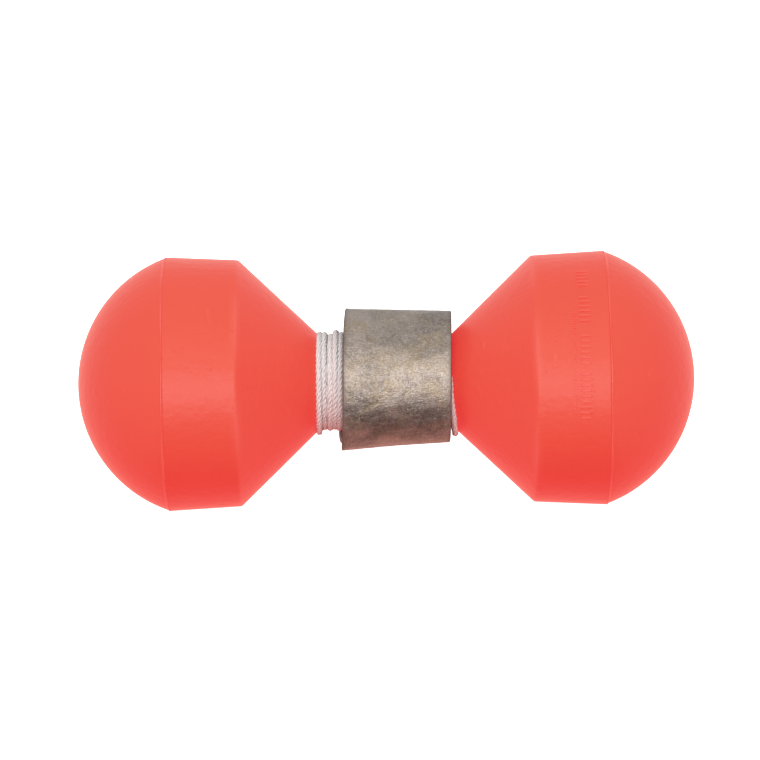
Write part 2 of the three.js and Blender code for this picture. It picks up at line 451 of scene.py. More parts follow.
# %% [markdown]
# ## Laying up three strands
# A rope walk twists three strands round each other. The shape follows a rule, so Geometry Nodes make
# it: the route is copied once for each strand, each copy is set off from the route by an angle that
# grows along it, and each is given a round section. Strands that turn like a right-handed screw are
# what rope makers call a Z twist.


# %% The tree for laid cord
def new_tree(name, inputs):
    tree = bpy.data.node_groups.new(name, "GeometryNodeTree")
    tree.interface.new_socket("Geometry", in_out="INPUT", socket_type="NodeSocketGeometry")
    for label, kind in inputs:
        tree.interface.new_socket(label, in_out="INPUT", socket_type=kind)
    tree.interface.new_socket("Geometry", in_out="OUTPUT", socket_type="NodeSocketGeometry")
    recipe = Recipe(tree)
    return tree, recipe, recipe.node("NodeGroupInput")


def close_tree(recipe, entry, shape):
    whole = recipe.node("GeometryNodeRealizeInstances", {}, {"Geometry": shape})
    sockets = {"Geometry": whole, "Material": entry.other("Finish")}
    dressed = recipe.node("GeometryNodeSetMaterial", {}, sockets)
    recipe.node("NodeGroupOutput", {}, {"Geometry": dressed})


laid_cord, recipe, entry = new_tree(
    "laid_cord",
    [
        ("Strands", "NodeSocketInt"),
        ("Strand radius", "NodeSocketFloat"),
        ("Strand offset", "NodeSocketFloat"),
        ("Lay length", "NodeSocketFloat"),
        ("Sides", "NodeSocketInt"),
        ("Finish", "NodeSocketMaterial"),
    ],
)
line = recipe.node("GeometryNodeMeshToCurve", {}, {"Mesh": entry})
sockets = {"Geometry": line, "Amount": entry.other("Strands")}
copies = recipe.node("GeometryNodeDuplicateElements", {"domain": "SPLINE"}, sockets)
along = recipe.node("GeometryNodeSplineParameter", {}, {}, out="Length")
share_of_turn = along / entry.other("Lay length") + copies.other("Duplicate Index") / entry.other("Strands")
twist = share_of_turn * (2 * math.pi)
side = recipe.node("GeometryNodeInputNormal", {}, {})
ahead = recipe.node("GeometryNodeInputTangent", {}, {})
square = recipe.node("ShaderNodeVectorMath", {"operation": "CROSS_PRODUCT"}, {0: ahead, 1: side})
offset = entry.other("Strand offset")
beside, above = recipe.wave("COSINE", twist) * offset, recipe.wave("SINE", twist) * offset
by_side = recipe.node("ShaderNodeVectorMath", {"operation": "SCALE"}, {0: side, "Scale": beside})
by_square = recipe.node("ShaderNodeVectorMath", {"operation": "SCALE"}, {0: square, "Scale": above})
shift = recipe.node("ShaderNodeVectorMath", {"operation": "ADD"}, {0: by_side, 1: by_square})
marked = recipe.node(
    "GeometryNodeStoreNamedAttribute",
    {"data_type": "FLOAT", "domain": "POINT"},
    {"Geometry": copies, "Name": "strand_along", "Value": along},
)
strands = recipe.node("GeometryNodeSetPosition", {}, {"Geometry": marked, "Offset": shift})
sockets = {"Resolution": entry.other("Sides"), "Radius": entry.other("Strand radius")}
section = recipe.node("GeometryNodeCurvePrimitiveCircle", {"mode": "RADIUS"}, sockets)
place_on_section = recipe.node("GeometryNodeInputPosition", {}, {})
section = recipe.node(
    "GeometryNodeStoreNamedAttribute",
    {"data_type": "FLOAT_VECTOR", "domain": "POINT"},
    {"Geometry": section, "Name": "strand_around", "Value": place_on_section},
)
sockets = {"Curve": strands, "Profile Curve": section, "Fill Caps": True}
tubes = recipe.node("GeometryNodeCurveToMesh", {}, sockets)
close_tree(recipe, entry, tubes)
print("tree:", laid_cord.name, "with", len(laid_cord.nodes), "nodes")


# %% Run a tree, and keep what it makes as a plain mesh
def grow(start_mesh, tree, **sizes):
    holder = bpy.data.objects.new("holder", start_mesh)
    bpy.context.scene.collection.objects.link(holder)
    modifier = holder.modifiers.new("shape", "NODES")
    modifier.node_group = tree
    for socket in tree.interface.items_tree:
        label = socket.name.replace(" ", "_").lower()
        if socket.in_out == "INPUT" and label in sizes:
            modifier[socket.identifier] = sizes[label]
    depsgraph = bpy.context.evaluated_depsgraph_get()
    plain = bpy.data.meshes.new_from_object(holder.evaluated_get(depsgraph), depsgraph=depsgraph)
    holder.modifiers.clear()
    bpy.data.objects.remove(holder)
    return plain


def line_mesh(points):
    mesh = bpy.data.meshes.new("line")
    mesh.from_pydata(points, [(i, i + 1) for i in range(len(points) - 1)], [])
    return mesh


def plain_tube(points, diameter):
    return grow(
        line_mesh(points), laid_cord, strands=1, strand_radius=diameter / 2 * MM, strand_offset=0.0,
        lay_length=1.0, sides=6, finish=nylon,
    )


lay_length = 3.8


def three_strands(points, sides=6, diameter=cord_diameter):
    radius = diameter / 2 * MM
    return grow(
        line_mesh(points), laid_cord, strands=3, strand_radius=0.585 * radius,
        strand_offset=0.435 * radius, lay_length=lay_length * MM * diameter / cord_diameter,
        sides=sides, finish=nylon,
    )


def joined_mesh(name, *meshes):
    both = bmesh.new()
    for mesh in meshes:
        both.from_mesh(mesh)
    whole = bpy.data.meshes.new(name)
    both.to_mesh(whole)
    both.free()
    whole.materials.append(nylon)
    return whole


# %% The wound cord
buried_diameter = 1.66
crease_of_cord = 80  # degrees; the strands shade smoothly and only their cut ends are sharp
buried_tube = plain_tube(buried_points, buried_diameter)
showing_strands = three_strands(showing_points, diameter=pressed_diameter)
cord_mesh = joined_mesh("wound_cord", buried_tube, showing_strands)
wound_cord = keep_piece("wound_cord", cord_mesh, crease_of_cord)
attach(wound_cord, "float")
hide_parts("cord_winding")

# %% [markdown]
# ## The cord's last lap
# The last lap lies in the winding but belongs to the strap: it goes round with it when the float
# turns. So it is a piece of its own, nearly one turn of the same three strands.

# %% The last lap
lap_radius = winding_at(lap_x) - cord_diameter / 2
lap_start, lap_sweep, lap_count = 88, 349, 230
lap_steps = [(lap_start + lap_sweep * i / lap_count, lap_x, lap_radius) for i in range(lap_count + 1)]
last_lap = keep_piece("cord_last_lap_laid", three_strands(route_points(lap_steps)), crease_of_cord)
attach(last_lap, "last_lap")
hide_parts("cord_last_lap")

# %% [markdown]
# ## The knot
# The cord's end comes up through a hole in the strap and is stopped by an overhand knot. The knot is
# a path like any other: three crossings round a small ring, pulled tight, with the standing part
# going down the hole and a short cut tail. It is made with the same tree as the cord.

# %% The strap's shape, in millimetres
wide_bottom, narrow_bottom = 19.3, 17.75
lift_wide, lift_narrow = 0.77, 0.98
strap_thickness, strap_fit = 1.6, 0.3
strap_bow = 1.45  # how far the rear half bows towards the wide side, between the bend and its end
bend_way = Vector((0, math.sin(math.radians(30)), math.cos(math.radians(30))))
front_way = Vector((1, 0, 0)).cross(bend_way)


def soft_share(value):
    value = min(max(value, 0), 1)
    return value * value * (3 - 2 * value)


def strap_way(degrees):
    """From the strap's centre outwards, at some degrees from the bend towards the front."""
    return bend_way * math.cos(math.radians(degrees)) + front_way * math.sin(math.radians(degrees))


def strap_point(share, depth, degrees):
    """share runs from the wide edge to the narrow one, depth inwards, degrees from the bend."""
    sink = (strap_thickness + strap_fit) * soft_share(-degrees / 150)
    lift = lift_wide + (lift_narrow - lift_wide) * share
    radius = wide_bottom + (narrow_bottom - wide_bottom) * share + lift - sink - depth
    part = min(abs(degrees) / 180, 1)
    bow = strap_bow * math.sin(math.pi * part**2) if degrees < 0 else 0
    point = strap_way(degrees) * radius + bend_way * lift
    point.x = wide_x + (narrow_x - wide_x) * share - part - bow
    return point


hole_degrees = -40
hole_share = (lap_x - (strap_point(0, 0, hole_degrees).x - wide_x) - wide_x) / (narrow_x - wide_x)
hole_place = strap_point(hole_share, 0, hole_degrees)
hole_way = strap_way(hole_degrees)
print("hole in the strap at", [round(c, 3) for c in hole_place])

# %% The knotted end
def smooth_through(points, steps):
    """A smooth line through a few points."""
    line = []
    for i in range(len(points) - 1):
        p = [points[min(max(i + k, 0), len(points) - 1)] for k in (-1, 0, 1, 2)]
        for k in range(steps):
            t = k / steps
            line.append(
                0.5 * (2 * p[1] + (p[2] - p[0]) * t + (2 * p[0] - 5 * p[1] + 4 * p[2] - p[3]) * t * t
                       + (3 * p[1] - p[0] - 3 * p[2] + p[3]) * t**3)
            )
    return line + [points[-1]]


knot_side = Vector((1, 0, 0))
knot_back = hole_way.cross(knot_side)
knot_middle = hole_place + hole_way * 2.25


def on_knot(t):
    """A point of a three-crossing ring: t runs once round the whole knot."""
    angle = 2 * math.pi * t
    out = 1.12 + 0.62 * math.cos(3 * angle)
    across = knot_side * out * math.cos(2 * angle) + knot_back * out * math.sin(2 * angle)
    return knot_middle + across + hole_way * 0.72 * math.sin(3 * angle)


stem_low = hole_way * (winding_at(lap_x) + strap_fit + 0.05)
stem_low = Vector((hole_place.x, stem_low.y, stem_low.z))
knot_line = [stem_low, hole_place - hole_way * 0.9, hole_place + hole_way * 0.3]
knot_line += [on_knot(0.06 + 0.88 * i / 22) for i in range(23)]
tail_start = knot_line[-1]
knot_line.append(tail_start + hole_way * 1.0 + knot_side * 0.9)
knot_line.append(tail_start + hole_way * 1.9 + knot_side * 2.2 + knot_back * 0.5)
knot_points = [point * MM for point in smooth_through(knot_line, 5)]
knot = keep_piece("cord_stopper_knot", three_strands(knot_points, 8, 1.3), crease_of_cord)
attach(knot, "strap_rear")
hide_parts("cord_end_knot")
print(f"knot takes {length_of(knot_points) * 1000:.0f} mm of cord")

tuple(cord_route[0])
print(f"declared length {cord_length:.3f} m")

# %% [markdown]
# ## Fluorescent orange plastic
# The bulbs are moulded in soft plastic with a fluorescent pigment. Such a pigment takes in blue and
# green light and gives it out as red, so the red hardly falls in the shade while the green does. Here
# that is a painted glow: an even red emission, which shines the same in the shade and where no light
# falls. Over it come a faint grain from the mould, slight unevenness of colour, and paler lines where
# the moulding stands proud: wear on the band's corner and on the raised bars, and on the weld lip
# partly a painted highlight.

# %% Plastic finish
plastic, recipe = new_finish("fluorescent_plastic", (0.75, 0.12, 0.06))
here = recipe.place()
cloud = recipe.noise(here, 55.0, 3.0, 0.55)
grain = recipe.noise(here, 1900.0, 2.0, 0.6)
orange_peel = recipe.noise(here, 330.0, 2.0, 0.5)
drawn = recipe.noise(recipe.place(stretch=(0.12, 1, 1)), 520.0, 3.0, 0.6)
specks = recipe.step(recipe.noise(here, 760.0, 1.0, 0.4), 0.71, 0.78)
scuff_field = recipe.noise(recipe.place(stretch=(1, 0.2, 0.5), turn=(0.5, 0.3, 0.9)), 260.0, 2.0, 0.6)
scuffs = recipe.step(scuff_field, 0.66, 0.76) * recipe.step(recipe.noise(here, 34.0, 1.0), 0.5, 0.66)
# pale marks: wear on the band's corner and the raised bars; on the weld lip's top, partly painted highlight
wear_and_highlight = recipe.own("wear_and_highlight")
tone = recipe.mix(cloud, (0.13, 0.070, 0.030), (0.15, 0.082, 0.035))
tone = recipe.mix(drawn * 0.3, tone, (0.13, 0.067, 0.030))
tone = recipe.mix(scuffs * 0.2 + wear_and_highlight * 0.5, tone, (0.26, 0.19, 0.15))
close_finish(
    recipe,
    **{
        "Base Color": recipe.mix(specks * 0.3, tone, (0.10, 0.045, 0.022)),
        "Roughness": 0.35 + cloud * 0.08 + scuffs * 0.15,
        # painted glow: an even red emission, the same in the shade and where no light falls
        "Emission Color": (1.0, 0.004, 0.028, 1.0),
        "Emission Strength": 0.68,
        "Specular IOR Level": 0.30,
        "Sheen Weight": 0.26,
        "Sheen Tint": (1.0, 0.86, 0.66, 1.0),
        "Sheen Roughness": 0.35,
        "Normal": recipe.bump(
            grain * 0.5 + specks * 0.5, 0.00010,
            below=recipe.bump(orange_peel * 0.7 + drawn * 0.3 - scuffs * 0.4, 0.00022),
        ),
    },
)
print("finish:", plastic.name)

# %% [markdown]
# ## Bulbs
# Each bulb is two mouldings: a bell, which is the neck, the cone and the band in one, and a dome
# welded into its mouth. Both are round, so a lathe makes them: an outline is carried round the axis.
# A lathe in code was chosen over a modifier because the weld bead isn't even all the way round, and
# here each point may be nudged as it is placed.

# %% A lathe with a hand that isn't quite steady
lathe_sides = 208


def lathe(name, outline, closed, finish, nudge=None, pale_mark=None):
    """outline is (x, radius) in millimetres. nudge gives a small change of both at a turn."""
    points, marks, rows = [], [], []
    for i, (x, radius) in enumerate(outline):
        if radius < 1e-6:
            rows.append([len(points)] * lathe_sides)
            points.append((x, 0, 0))
            marks.append(0.0)
            continue
        rows.append(list(range(len(points), len(points) + lathe_sides)))
        for j in range(lathe_sides):
            angle = 2 * math.pi * j / lathe_sides
            dx, dr = nudge(i, angle) if nudge else (0, 0)
            r = radius + dr
            points.append((x + dx, r * math.sin(angle), r * math.cos(angle)))
            marks.append(pale_mark(i, angle) if pale_mark else 0.0)
    faces = []
    pairs = list(zip(rows, rows[1:])) + ([(rows[-1], rows[0])] if closed else [])
    for low, high in pairs:
        for j in range(lathe_sides):
            k = (j + 1) % lathe_sides
            corners = [low[j], low[k], high[k], high[j]]
            face = [c for n, c in enumerate(corners) if c != corners[n - 1]]
            faces.append(face)
    return mesh_of(name, points, faces, finish, {"wear_and_highlight": marks})


def rounded(points, radius, steps=5):
    """The corner at the middle of three points, rounded off."""
    before, corner, after = (Vector(p) for p in points)
    to_before, to_after = (before - corner).normalized(), (after - corner).normalized()
    half = to_before.angle(to_after) / 2
    reach = radius / math.tan(half)
    start, end = corner + to_before * reach, corner + to_after * reach
    arc = []
    for i in range(steps + 1):
        t = i / steps
        arc.append(tuple(start * (1 - t) ** 2 + corner * 2 * t * (1 - t) + end * t * t))
    return arc


def filled(outline, longest):
    """The same outline with no gap longer than the longest given."""
    full = [outline[0]]
    for point in outline[1:]:
        count = max(1, math.ceil(math.dist(full[-1], point) / longest))
        first = full[-1]
        full += [tuple(a + (b - a) * k / count for a, b in zip(first, point)) for k in range(1, count + 1)]
    return full


print("lathe sides:", lathe_sides)

# %% Bells
band_x, band_radius, seam_x, bulb_radius, shell_wall = 41.5, 34.95, 61.8, 36.0, 2.0
bore_radius = 4.5
slant = math.hypot(1, cone_slope)
band_slope = (bulb_radius - band_radius) / (seam_x - band_x)


def inner_band(x):
    return band_radius + (x - band_x) * band_slope - shell_wall


inner_foot = neck_foot + (bore_radius - neck_radius + shell_wall * slant) / cone_slope
inner_cone_at_band = neck_radius + (band_x - neck_foot) * cone_slope - shell_wall * slant
inner_corner = band_x + (inner_band(band_x) - inner_cone_at_band) / (cone_slope - band_slope)
outside = [(0.15, neck_radius)]
outside += rounded([(0.15, neck_radius), (neck_foot, neck_radius), (band_x, band_radius)], 1.2)
outside += rounded([(neck_foot, neck_radius), (band_x, band_radius), (seam_x, bulb_radius)], 1.6, 7)
outside += [(seam_x - 0.5, bulb_radius - 0.5 * band_slope)]
outside += [(seam_x - 0.17, bulb_radius - 0.02), (seam_x - 0.02, bulb_radius - 0.08)]
inside = [
    (seam_x - 0.02, inner_band(seam_x)), (inner_corner, inner_band(inner_corner)),
    (inner_foot, bore_radius), (0.15, bore_radius),
]
bell_outline = filled(outside, 1.6) + filled(inside, 4.0)
outside_count = len(filled(outside, 1.6))


def bell_nudge(phase):
    def nudge(i, angle):
        if i >= outside_count or bell_outline[i][1] < 14:
            return 0, 0
        x, radius = bell_outline[i]
        sink = 0.05 * math.sin(2 * angle + phase) + 0.03 * math.sin(5 * angle + x * 0.11 + phase * 2)
        return 0, sink
    return nudge


def bell_rub(phase):
    def pale_mark(i, angle):
        x = bell_outline[i][0]
        corner = math.exp(-(((x - band_x) / 0.7) ** 2)) * (0.25 + 0.2 * math.sin(7 * angle + phase))
        return max(0.0, corner) if i < outside_count else 0.0
    return pale_mark


def mirrored(mesh):
    """The same moulding at the other end of the buoy: turned half round, so nothing is inside out."""
    for vertex in mesh.vertices:
        vertex.co.x, vertex.co.y = -vertex.co.x, -vertex.co.y
    return mesh


for node, nudge_phase, pale_phase in (("right_bell", 0.4, 1.0), ("left_bell", 2.1, 4.0)):
    name = f"{node}_shell"
    mesh = lathe(name, bell_outline, True, plastic, bell_nudge(nudge_phase), bell_rub(pale_phase))
    bell = keep_piece(name, mirrored(mesh) if node == "left_bell" else mesh)
    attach(bell, "float")
    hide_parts(node)

# %% [markdown]
# ## Domes and their weld
# The dome's spigot sits in the bell's mouth. Where the two were spun together, molten plastic was
# pushed out as a thin lip all round. It varies in height and wanders a little, and its top is paler:
# partly because it is thin, partly as a painted highlight. The lip is part of the dome's outline, with
# a shallow groove beside it.

# %% Domes
dome_height, bead_width, bead_height = 25.7, 0.45, 0.08
dome_radius = (bulb_radius**2 + dome_height**2) / (2 * dome_height)
dome_centre = seam_x + dome_height - dome_radius
spigot_outer = bulb_radius - shell_wall - band_slope * 4 - 0.3
spigot_inner = spigot_outer - 1.8


def cap_arc(radius, from_x, steps):
    first = math.acos((from_x - dome_centre) / radius)
    angles = [first * (1 - i / steps) for i in range(steps + 1)]
    return [(dome_centre + radius * math.cos(a), radius * math.sin(a) if a > 1e-9 else 0.0) for a in angles]


groove_x = seam_x + bead_width + 0.34
cap = cap_arc(dome_radius, groove_x + 0.25, 44)[::-1]
cap[0] = (cap[0][0], 0.0)
groove_radius = math.sqrt(dome_radius**2 - (groove_x - dome_centre) ** 2)
lip = [
    (groove_x, groove_radius - 0.02), (seam_x + bead_width, bulb_radius - 0.04),
    (seam_x + bead_width * 0.86, bulb_radius + bead_height * 0.62),
    (seam_x + bead_width * 0.6, bulb_radius + bead_height),
    (seam_x + bead_width * 0.32, bulb_radius + bead_height * 0.92),
    (seam_x + 0.09, bulb_radius + bead_height * 0.45),
    (seam_x + 0.02, bulb_radius - 0.06),
]
dome_inside = [(seam_x + 0.02, spigot_outer), (seam_x - 4, spigot_outer), (seam_x - 4, spigot_inner)]
inner_radius = dome_radius - shell_wall
dome_inside += cap_arc(inner_radius, dome_centre + math.sqrt(inner_radius**2 - spigot_inner**2), 14)
dome_outline = cap + lip + dome_inside
lip_rows = range(len(cap), len(cap) + len(lip))


def dome_nudge(phase):
    def nudge(i, angle):
        if i in lip_rows:
            height = 0.03 * math.sin(9 * angle + phase) + 0.025 * math.sin(23 * angle + 3 * phase)
            height += 0.02 * math.sin(61 * angle + phase)
            wander = 0.07 * math.sin(4 * angle + 2 * phase) + 0.04 * math.sin(17 * angle)
            top = i - len(cap) in (2, 3, 4, 5)
            return (wander if i - len(cap) < 5 else 0), (height if top else 0)
        if 0 < i < len(cap):
            return 0, 0.03 * math.sin(3 * angle + phase) * min(1, dome_outline[i][1] / 12)
        return 0, 0
    return nudge


# the weld lip's top is paler: partly thin plastic, partly painted highlight
def thin_lip_and_highlight(phase):
    def pale_mark(i, angle):
        on_lip = i - len(cap) in (2, 3, 4)
        return 0.4 + 0.3 * math.sin(11 * angle + phase) if on_lip else 0.0
    return pale_mark


crease_of_dome = 55
for node, nudge_phase, pale_phase in (("right_dome", 0.7, 0.2), ("left_dome", 3.9, 2.2)):
    name = f"{node}_shell"
    mesh = lathe(name, dome_outline, False, plastic, dome_nudge(nudge_phase), thin_lip_and_highlight(pale_phase))
    dome = keep_piece(name, mirrored(mesh) if node == "left_dome" else mesh, crease_of_dome)
    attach(dome, "float")
    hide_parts(node)

# %% [markdown]
# ## Raised bars on the right band
# The right bell carries raised marks from its mould, in the same plastic. Here they are plain bars,
# which say nothing. They repeat along a line round the band, so Geometry Nodes place them: one small
# bar, set on each point of the line, turned to stand on the surface, and of slightly varied length.

# %% The bar, and the tree that sets it out
def small_bar():
    shape = bmesh.new()
    bmesh.ops.create_cube(shape, size=1.0)
    bmesh.ops.bevel(shape, geom=shape.edges[:], offset=0.22, segments=2, affect="EDGES", profile=0.6)
    mesh = bpy.data.meshes.new("small_bar")
    shape.to_mesh(mesh)
    shape.free()
    return bpy.data.objects.new("small_bar", mesh)


set_out_bars, recipe, entry = new_tree(
    "set_out_bars",
    [
        ("Bar", "NodeSocketObject"), ("Bar length", "NodeSocketFloat"), ("Bar width", "NodeSocketFloat"),
        ("Bar height", "NodeSocketFloat"), ("Shortest share", "NodeSocketFloat"), ("Seed", "NodeSocketInt"),
        ("Finish", "NodeSocketMaterial"),
    ],
)
bar = recipe.node("GeometryNodeObjectInfo", {}, {"Object": entry.other("Bar")}, out="Geometry")
stand = recipe.node("GeometryNodeInputPosition", {}, {})
outwards = recipe.node("ShaderNodeVectorMath", {"operation": "MULTIPLY"}, {0: stand, 1: (0.0, 1.0, 1.0)})
upright = recipe.node(
    "FunctionNodeAlignRotationToVector", {"axis": "Z", "pivot_axis": "X"}, {"Vector": outwards}
)
sockets = {"Min_001": entry.other("Shortest share"), "Max_001": 1.0, "Seed": entry.other("Seed")}
vary = recipe.node("FunctionNodeRandomValue", {"data_type": "FLOAT"}, sockets, out="Value_001")
size = recipe.node(
    "ShaderNodeCombineXYZ", {},
    {"X": entry.other("Bar length") * vary, "Y": entry.other("Bar width"), "Z": entry.other("Bar height")},
)
sockets = {"Points": entry, "Instance": bar, "Rotation": upright, "Scale": size}
bars = recipe.node("GeometryNodeInstanceOnPoints", {}, sockets)
close_tree(recipe, entry, bars)
print("tree:", set_out_bars.name)


# %% Bars on the band
def band_line(x, from_degrees, to_degrees, count, gaps=()):
    radius = band_radius + (x - band_x) * band_slope
    spots = [from_degrees + (to_degrees - from_degrees) * i / (count - 1) for i in range(count)]
    mesh = bpy.data.meshes.new("band_line")
    kept = [
        (Vector((x, 0, 0)) + square_to_axis(degrees) * (radius + 0.02)) * MM
        for i, degrees in enumerate(spots) if i not in gaps
    ]
    mesh.from_pydata(kept, [], [])
    return mesh


bar_shape = small_bar()
bpy.context.scene.collection.objects.link(bar_shape)
tall = grow(
    band_line(55.0, -4, -78, 31, (5, 6, 13, 14, 21)), set_out_bars, bar=bar_shape, bar_length=3.5 * MM,
    bar_width=0.62 * MM, bar_height=0.44 * MM, shortest_share=0.8, seed=3, finish=plastic,
)
small = grow(
    band_line(52.0, -30, -74, 38, (9, 10, 22, 30)), set_out_bars, bar=bar_shape, bar_length=0.85 * MM,
    bar_width=0.34 * MM, bar_height=0.34 * MM, shortest_share=0.6, seed=5, finish=plastic,
)
bpy.data.objects.remove(bar_shape)
band_bars_mesh = joined_mesh("raised_band_bars", tall, small)
band_bars_mesh.materials.clear()
band_bars_mesh.materials.append(plastic)
rubbed_bars = band_bars_mesh.attributes.new("wear_and_highlight", "FLOAT", "POINT")
rubbed_bars.data.foreach_set("value", [0.3] * len(band_bars_mesh.vertices))
band_bars = keep_piece("raised_band_bars", band_bars_mesh)
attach(band_bars, "float")

# %% [markdown]
# ## Sheet lead
# The strap was cut from old sheet lead. New lead is bluish and bright, and soon dulls to grey-brown.
# The surface is cloudy at three sizes: broad warm and cool patches, a mottle of a millimetre or two,
# and a fine grain where it was rolled, with pale spots painted in as glints. It is soft, so it is
# covered in little scratches and dents, and it is darker along its cut edges. Its inner face, which
# lies on the cord, is darkened all over as painted shade.

# %% Lead finish
lead, recipe = new_finish("sheet_lead", (0.36, 0.32, 0.28))
here = recipe.place()
patches = recipe.step(recipe.noise(here, 95.0, 3.0, 0.55, 0.4), 0.36, 0.64)
warm = recipe.step(recipe.noise(recipe.place(turn=(0.7, 0.2, 1.1)), 150.0, 4.0, 0.6, 0.5), 0.42, 0.68)
mottle = recipe.noise(here, 800.0, 5.0, 0.7, 0.3)
fine = recipe.noise(recipe.place(stretch=(0.6, 1.2, 1.2), turn=(0.3, 0.6, 0.2)), 2500.0, 3.0, 0.7)
painted_glint_field = recipe.noise(recipe.place(stretch=(1.2, 0.5, 0.5), turn=(0, 0.5, 0.4)), 3000.0, 2.0)
painted_glints = recipe.step(painted_glint_field, 0.56, 0.70)
scratch_one = recipe.noise(recipe.place(stretch=(1, 0.08, 0.08), turn=(0, 0.5, 0.6)), 1500.0, 2.0, 0.6)
scratch_two = recipe.noise(recipe.place(stretch=(0.09, 1, 1), turn=(0.4, -0.6, 0.3)), 1400.0, 2.0, 0.6)
scratches = recipe.step(scratch_one, 0.62, 0.74) + recipe.step(scratch_two, 0.63, 0.75) * 0.8
pits = recipe.step(recipe.noise(here, 900.0, 2.0, 0.5), 0.70, 0.80)
# darker along the cut edges; the whole inner face, which lies on the cord, gets painted shade
edge = recipe.own("cut_edge")
tone = recipe.mix(patches, (0.245, 0.205, 0.18), (0.44, 0.376, 0.325))
tone = recipe.mix(warm * 0.6, tone, (0.44, 0.34, 0.21))
tone = recipe.mix(recipe.step(mottle, 0.4, 0.66) * 0.6, tone, (0.50, 0.435, 0.385))
# bright scratches, and painted glints: pale spots that stand in for sparkle
tone = recipe.mix(scratches * 0.25 + painted_glints * 0.35, tone, (0.74, 0.69, 0.64))
tone = recipe.mix(recipe.step(fine, 0.46, 0.62) * 0.46 + pits * 0.3, tone, (0.17, 0.135, 0.11))
close_finish(
    recipe,
    **{
        "Base Color": recipe.mix(edge * 0.8, tone, (0.10, 0.075, 0.065)),
        "Metallic": 0.82 - edge * 0.3 - patches * 0.08,
        "Roughness": 0.26 + mottle * 0.16 + edge * 0.2 - scratches * 0.06,
        "Normal": recipe.bump(
            fine * 0.8 + mottle * 0.7 - scratches * 0.35 - pits * 0.5, 0.00018,
            below=recipe.bump(recipe.noise(here, 170.0, 2.0), 0.0006),
        ),
    },
)
print("finish:", lead.name)

# %% [markdown]
# ## The strap
# One strip of lead is bent to a ring by hand, its ends overlapping at the bottom. In the CAD model it
# is two halves on a hinge at the bend. A real bend is a few millimetres of lead that yields, so here
# the strip is three pieces: the rear half, the front half, and a short bend between them. All three
# are cut from the same curved sheet, so that they meet without a step. The sheet has a round to its
# cut edges, and the waves of a strip bent by hand.


# %% The sheet's waves
strap_width, girth_radius = 30, 19  # near enough for dents and rounds, in millimetres


def wave_of_sheet(share, degrees):
    """How far the sheet stands in from a true curve, in millimetres."""
    turn = math.radians(degrees)
    wave = 0.06 * math.sin(2.2 * turn + 3.1 * share) + 0.045 * math.sin(5 * turn - 4.5 * share + 1.0)
    curl = 0
    if abs(degrees) < 75:
        curl = 0.1 * soft_share((0.13 - share) / 0.13) * max(0, math.cos(turn * 1.2))
    if degrees > 0:
        flare = 0.42 * soft_share((degrees - 128) / 40)
    else:
        flare = 0.3 * soft_share((-degrees - 132) / 36)
    return wave - curl - flare * (1 - share) ** 2


def hand_marks(share, degrees):
    """Shallow dents in the outer face only."""
    x, arc = share * strap_width, math.radians(degrees) * girth_radius
    return 0.035 * (1 + math.sin(0.9 * x + 0.7 * arc) * math.sin(0.6 * arc - 0.5 * x + 2.0))


def bulge_of_edge(share, degrees):
    """How far the wide edge, which was cut by eye, bulges."""
    if degrees > 0:
        bulge = 0.42 * soft_share(degrees / 75) + 0.25 * soft_share((degrees - 125) / 45)
        return bulge * (1 - share) ** 2
    return 0.64 * (1 - share) ** 2 * math.exp(-(((degrees + 170) / 34) ** 2))


edge_round = 0.45
near_edge = [0, 0.001, 0.004, 0.009, 0.015]
shares = near_edge + [0.015 + 0.97 * i / 40 for i in range(1, 40)]
shares += [1 - share for share in reversed(near_edge)]


def rounding(distance):
    """How far a rounded edge has fallen back, at a distance from the edge."""
    if distance >= edge_round:
        return 0.0
    return edge_round - math.sqrt(max(edge_round**2 - (edge_round - distance) ** 2, 0))


def sheet_of_lead(name, turns, round_start=False, round_end=False):
    """A solid strip between the first and the last of the turns, in degrees."""
    points, marks = [], []
    for inner in (False, True):
        for degrees in turns:
            ends = []
            if round_start:
                ends.append(abs(degrees - turns[0]))
            if round_end:
                ends.append(abs(degrees - turns[-1]))
            end_distance = math.radians(min(ends)) * girth_radius if ends else 9
            for share in shares:
                side_distance = min(share, 1 - share) * strap_width
                fall = min(rounding(side_distance) + rounding(end_distance), strap_thickness / 2 - 0.1)
                depth = wave_of_sheet(share, degrees)
                depth += strap_thickness - fall * 0.8 if inner else fall + hand_marks(share, degrees)
                point = strap_point(share, depth, degrees)
                point.x -= bulge_of_edge(share, degrees)
                points.append(point)
                near = min(side_distance, end_distance)
                # outer points darken near the cut edges; the inner face carries painted shade
                marks.append(math.exp(-((near / 0.5) ** 2)) if not inner else 0.35)
    wide, long = len(shares), len(turns)
    offset = wide * long
    faces = []
    for j in range(long - 1):
        for i in range(wide - 1):
            a, b, c, d = j * wide + i, j * wide + i + 1, (j + 1) * wide + i + 1, (j + 1) * wide + i
            faces += [(a, b, c, d), (d + offset, c + offset, b + offset, a + offset)]
        for i in (0, wide - 1):
            a, d = j * wide + i, (j + 1) * wide + i
            faces.append((a, d, d + offset, a + offset) if i == 0 else (d, a, a + offset, d + offset))
    for j in (0, long - 1):
        for i in range(wide - 1):
            a, b = j * wide + i, j * wide + i + 1
            faces.append((b, a, a + offset, b + offset) if j == 0 else (a, b, b + offset, a + offset))
    return mesh_of(name, points, faces, lead, {"cut_edge": marks})


def turns_between(start, end, round_start=False, round_end=False, step=2.0):
    """Turns in degrees, closer together where an end is rounded."""
    count = max(2, round(abs(end - start) / step))
    turns = [start + (end - start) * i / count for i in range(count + 1)]
    close = [0.06, 0.18, 0.4, 0.75, 1.2]
    if round_start:
        turns = [start] + [start + c for c in close] + turns[1:]
    if round_end:
        turns = turns[:-1] + [end - c for c in close[::-1]] + [end]
    return turns


